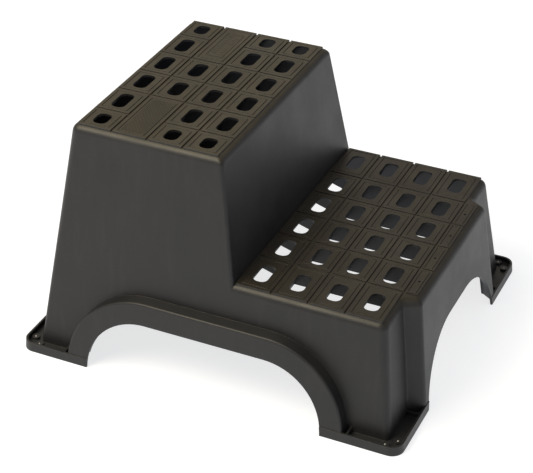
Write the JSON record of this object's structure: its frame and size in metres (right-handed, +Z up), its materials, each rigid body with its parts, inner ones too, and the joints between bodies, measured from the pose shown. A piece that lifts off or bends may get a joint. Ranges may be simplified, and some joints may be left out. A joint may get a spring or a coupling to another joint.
{
  "type": "step stool",
  "caption": "Moulded two-step stool with padded, slotted treads, arched drafted walls and rimmed corner trays on screwed rubber feet; gives a low and a high standing level",
  "frame": {"origin": "on the floor, below the middle of the footprint", "axes": "+Z up, +Y towards the high rear tread, -Y towards the low front tread, X along the width of the treads"},
  "size_m": [0.573, 0.666, 0.4],
  "materials": {
    "shell_plastic": "satin, fine moulded grain",
    "foot_rubber": "matte",
    "screw_steel": "zinc plated"
  },
  "bodies": {
    "root": {"stool_shell": "shell_plastic", "foot_front_left": "foot_rubber", "foot_front_right": "foot_rubber", "foot_rear_left": "foot_rubber", "foot_rear_right": "foot_rubber", "screw_front_left_a": "screw_steel", "screw_front_left_b": "screw_steel", "screw_front_right_a": "screw_steel", "screw_front_right_b": "screw_steel", "screw_rear_left_a": "screw_steel", "screw_rear_left_b": "screw_steel", "screw_rear_right_a": "screw_steel", "screw_rear_right_b": "screw_steel"}
  },
  "joints": []
}
